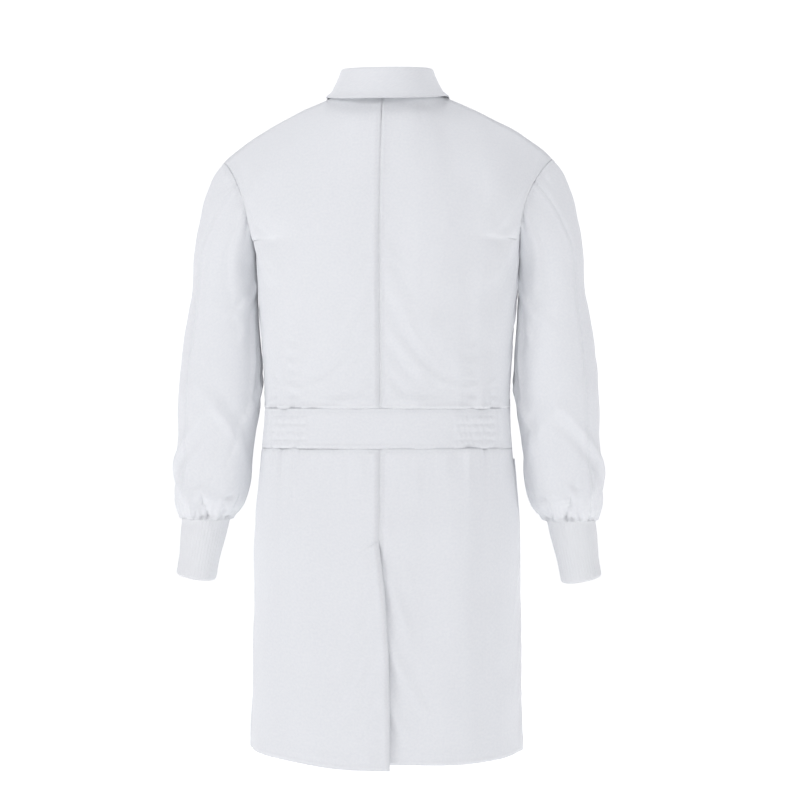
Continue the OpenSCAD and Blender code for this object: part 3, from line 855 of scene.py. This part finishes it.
def sleeve_points(q, rows):
    """The grid of the left sleeve, and for each point the way out from the sleeve's core."""
    hh, qq = np.meshgrid(rows, q, indexing="ij")
    p = sleeve_surface(qq, hh)
    core = np.stack([sleeve_x(np.minimum(p[..., 2], SLEEVE_TOP)), 0*qq, p[..., 2]], -1)
    core[..., 0] = mix(core[..., 0], 215, np.clip(hh, 0, 1)*0.9)
    closed = np.concatenate([p[:, -1:], p, p[:, :1]], 1)
    n = normals(closed, closed - np.concatenate([core[:, -1:], core, core[:, :1]], 1))[:, 1:-1]
    return p + n*sleeve_folds(p, qq, hh)[..., None], p - core


def build_sleeves():
    """Simulated on a coarse grid; the finer grid that is kept has extra columns at the seams."""
    rows = np.concatenate([spaced(CUFF_TOP, SLEEVE_TOP - 2, GRID*0.8), np.linspace(0, 1, int(130/GRID))])
    q = np.linspace(0, 2*math.pi, int(340/GRID), endpoint=False)
    coarse, outward = sleeve_points(q, rows)
    hang = drape(coarse, edge_pin(coarse, (1, 1, 0, 0)), SLEEVE_GROWTH, outward=outward, cap=5.0, gap=10.0,
                 wrap=True)
    near_seam = [math.radians(seam) + step for seam in SLEEVE_SEAMS for step in (-0.045, -0.02, 0, 0.02, 0.045)]
    fine = np.linspace(0, 2*math.pi, int(680/GRID), endpoint=False)
    away_from = np.min(np.abs(fine[:, None] - np.array(near_seam)[None]), 1)
    fine = np.sort(np.concatenate([fine[away_from > 0.018], near_seam]))
    p, _ = sleeve_points(fine, rows)
    for row in range(len(rows)):
        for axis in range(3):
            p[row, :, axis] += np.interp(fine, q, hang[row, :, axis], period=2*math.pi)
    for s, tag in ((1, "left"), (-1, "right")):
        obj = grid_mesh(f"sleeve_{tag}_cloth", p*[s, 1, 1], COTTON, wrap=True,
                        outward=lambda c, s=s: (c - [s*0.262, 0, 0])*[1, 1, 0])
        finish_sheet([f"sleeve_{tag}_upper", f"sleeve_{tag}_under"])
        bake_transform(obj)


# ---------------------------------------------------------------- cuffs

CUFF_LEN, CUFF_LEAN, RIBS = 92.0, math.radians(10), 44


def build_cuffs():
    q = np.linspace(0, 2*math.pi, RIBS*(6), endpoint=False)
    k = np.linspace(0, 1, 40)
    kk, qq = np.meshgrid(k, q, indexing="ij")
    r = mix(37.5, 32.5, smooth(kk*1.3)) - 0.9
    r = r + 0.28*np.cos(RIBS*qq) + 0.5*np.sin(2*qq + 5*kk) + 1.2*hump(kk, 0, 0.04)
    turn_in = np.clip((kk - 0.96)/0.04, 0, 1)
    r = r - 1.6*turn_in**2
    base = sleeve_x(np.array(CUFF_TOP))
    length = CUFF_LEN*kk
    x = base + 1 + length*math.sin(CUFF_LEAN) + r*np.cos(qq)
    z = CUFF_TOP + 2 - length*math.cos(CUFF_LEAN) + r*np.cos(qq)*math.sin(CUFF_LEAN)*kk
    z = z - 4.0*np.maximum(np.sin(qq), 0)*kk**2
    p = np.stack([x, 0.82*r*np.sin(qq), z], -1)
    for s, tag in ((1, "left"), (-1, "right")):
        obj = grid_mesh(f"cuff_{tag}_knit", p*[s, 1, 1], KNIT, thickness=1.8, wrap=True,
                        outward=lambda c, s=s: (c - [s*0.29, 0, 0])*[1, 1, 0])
        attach(obj, f"sleeve_{tag}")
        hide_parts(f"cuff_{tag}")


# ---------------------------------------------------------------- collar

def neck(b):
    """A point of the neck edge. The angle b is 0 at the front and 180 degrees at the back."""
    c = np.cos(b)
    front = c > 0
    a = np.abs(c)
    y = np.where(front, -NECK_FRONT, NECK_BACK)*a
    z = np.where(front, neck_z(-1, a), neck_z(1, a))
    return np.stack([NECK_HALF*np.sin(b), y, z], -1)


def away(b):
    """Level and outward from the neck edge."""
    p = neck(b)
    return unit(np.stack([p[..., 0]*NECK_BACK/170*1.7, p[..., 1], 0*b], -1))


def front_share(b):
    """1 at the centre front, and 0 from the sides to the back."""
    return np.maximum(np.cos(b), 0)**1.5


def side_lean(b):
    """The collar leans in towards the neck at its sides."""
    return 14*np.sin(b)**2


ROLL_SHARE = 0.10            # share of the leaf's height that goes into the roll at its top


def stand_top(b, centre_back):
    return centre_back - 6*front_share(b) + 4*np.sin(b)**2


def build_collar():
    b1 = np.radians(np.linspace(6, 354, int(520/GRID)))
    h1 = np.linspace(0, 1, int(40/GRID) + 6)
    hh, bb = np.meshgrid(h1, b1, indexing="ij")
    top = stand_top(bb, 33)
    rise = np.array([0, 0, 1.0])
    lean = 3 + (3 + side_lean(bb))*hh
    stand = neck(bb) + (0.4 + top*hh)[..., None]*rise - lean[..., None]*away(bb)
    obj = grid_mesh("collar_stand_cloth", stand, COTTON, outward=from_axis)
    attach(obj, "torso")
    finish_sheet(["collar_stand"])

    h2 = np.concatenate([np.linspace(0, ROLL_SHARE, 6), np.linspace(ROLL_SHARE + 0.02, 1, int(60/GRID) + 8)])
    hh, bb = np.meshgrid(h2, b1, indexing="ij")
    top = stand_top(bb, 34)
    drop = mix(42, 50, smooth(np.abs(np.cos(bb)))) + 24*front_share(bb)
    flare = 19 + 30*front_share(bb)
    roll = np.clip(hh/ROLL_SHARE, 0, 1)
    out = -4.4 - side_lean(bb) + 5.4*np.sin(roll*math.pi/2) + flare*hh**1.3
    up = 3.4 + top + 1.8*np.sin(roll*math.pi) - drop*hh
    wave = 0.8*np.sin(3*bb + 1) + 0.5*np.sin(7*bb)
    flick = 4.5*smooth((hh - 0.78)/0.22)
    out = out + wave*hh + flick
    leaf = neck(bb) + up[..., None]*rise + out[..., None]*away(bb)
    obj = grid_mesh("collar_leaf_cloth", leaf, COTTON, thickness=1.6, outward=from_axis)
    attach(obj, "torso")
    finish_sheet(["collar_leaf"])


# ---------------------------------------------------------------- small pieces

def build_facing_and_loop():
    s = np.linspace(0, 1, int(200/GRID))
    v = np.linspace(0.50, 0.99, int(80/GRID))[:, None] + 0*s[None]
    p = body(1, mix(-0.35, 0.35, s[None] + 0*v), v)
    p = p - normals(p, p*[1, 1, 0])*3.4
    obj = grid_mesh("back_neck_facing_cloth", p, COTTON, outward=from_axis)
    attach(obj, "torso")
    finish_sheet(["back_neck_facing"])
    a = np.radians(np.linspace(-19, 19, 40))
    k = np.linspace(0, 1, 6)
    kk, aa = np.meshgrid(k, a, indexing="ij")
    loop = np.stack([80.6*np.sin(aa), 130 - 80.6*np.cos(aa), -20 + 8*kk + 0*aa], -1)
    obj = grid_mesh("hanger_loop_tape", loop, COTTON, outward=lambda c: c*[0, -1, 0])
    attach(obj, "torso")
    finish_sheet(["hanger_loop"])


def finish_press_studs():
    """The press studs keep their CAD shape and get better materials."""
    for name, node in frame["nodes"].items():
        if not name.startswith("snap_"):
            continue
        node.data.materials.clear()
        node.data.materials.append(CAP if name.startswith("snap_cap") else METAL)


# ---------------------------------------------------------------- stage

def build_stage():
    """A floor that curves up into a wall. In metres."""
    mesh = bpy.data.meshes.new("floor")
    bm = bmesh.new()
    reach, floor_z, wall_y, wall_top, bend = 9.0, -1.30, -4.6, 6.0, 1.2
    turns = [math.radians(t) for t in range(10, 91, 10)]
    profile = [(reach, floor_z), (wall_y + bend, floor_z)]
    profile += [(wall_y + bend - bend*math.sin(t), floor_z + bend - bend*math.cos(t)) for t in turns]
    profile += [(wall_y, wall_top)]
    rows = [[bm.verts.new((x, y, z)) for x in (-reach, reach)] for y, z in profile]
    for a, b in zip(rows, rows[1:]):
        bm.faces.new((a[0], a[1], b[1], b[0]))
    bm.to_mesh(mesh)
    bm.free()
    mesh.polygons.foreach_set("use_smooth", [True]*len(mesh.polygons))
    floor = bpy.data.objects.new("floor", mesh)
    bpy.context.scene.collection.objects.link(floor)
    m, _, bsdf = node_tree("studio_white")
    bsdf.inputs["Base Color"].default_value = (0.9, 0.9, 0.9, 1)
    bsdf.inputs["Roughness"].default_value = 0.9
    bsdf.inputs["Emission Color"].default_value = (1, 1, 1, 1)
    bsdf.inputs["Emission Strength"].default_value = 0.45
    mesh.materials.append(m)


def area_light(name, place, size, power):
    """A square light at place, in metres, turned to the middle of the coat, with its power in watts."""
    data = bpy.data.lights.new(name, "AREA")
    data.size = size
    data.energy = power
    light = bpy.data.objects.new(name, data)
    light.location = place
    light.rotation_euler = (Vector((0, 0, -0.5)) - Vector(place)).to_track_quat("-Z", "Y").to_euler()
    bpy.context.scene.collection.objects.link(light)


def build_lights():
    area_light("key", (2.3, 1.7, 0.9), 1.0, 23)
    area_light("fill", (-2.4, 2.0, 0.6), 1.2, 15)
    area_light("front", (0.8, -2.6, 1.0), 1.6, 15)
    area_light("top", (0, 0.4, 2.0), 1.2, 12)
    world = bpy.data.worlds.new("studio")
    bpy.context.scene.world = world
    world.use_nodes = True
    world.node_tree.nodes["Background"].inputs["Color"].default_value = (0.94, 0.94, 1.0, 1)
    world.node_tree.nodes["Background"].inputs["Strength"].default_value = 0.42
    bpy.context.scene.view_settings.view_transform = "Standard"


build_back()
build_skirt()
build_vent_stitch()
build_fronts()
build_pockets()
build_band()
build_sleeves()
build_cuffs()
build_collar()
build_facing_and_loop()
finish_press_studs()
build_stage()
build_lights()
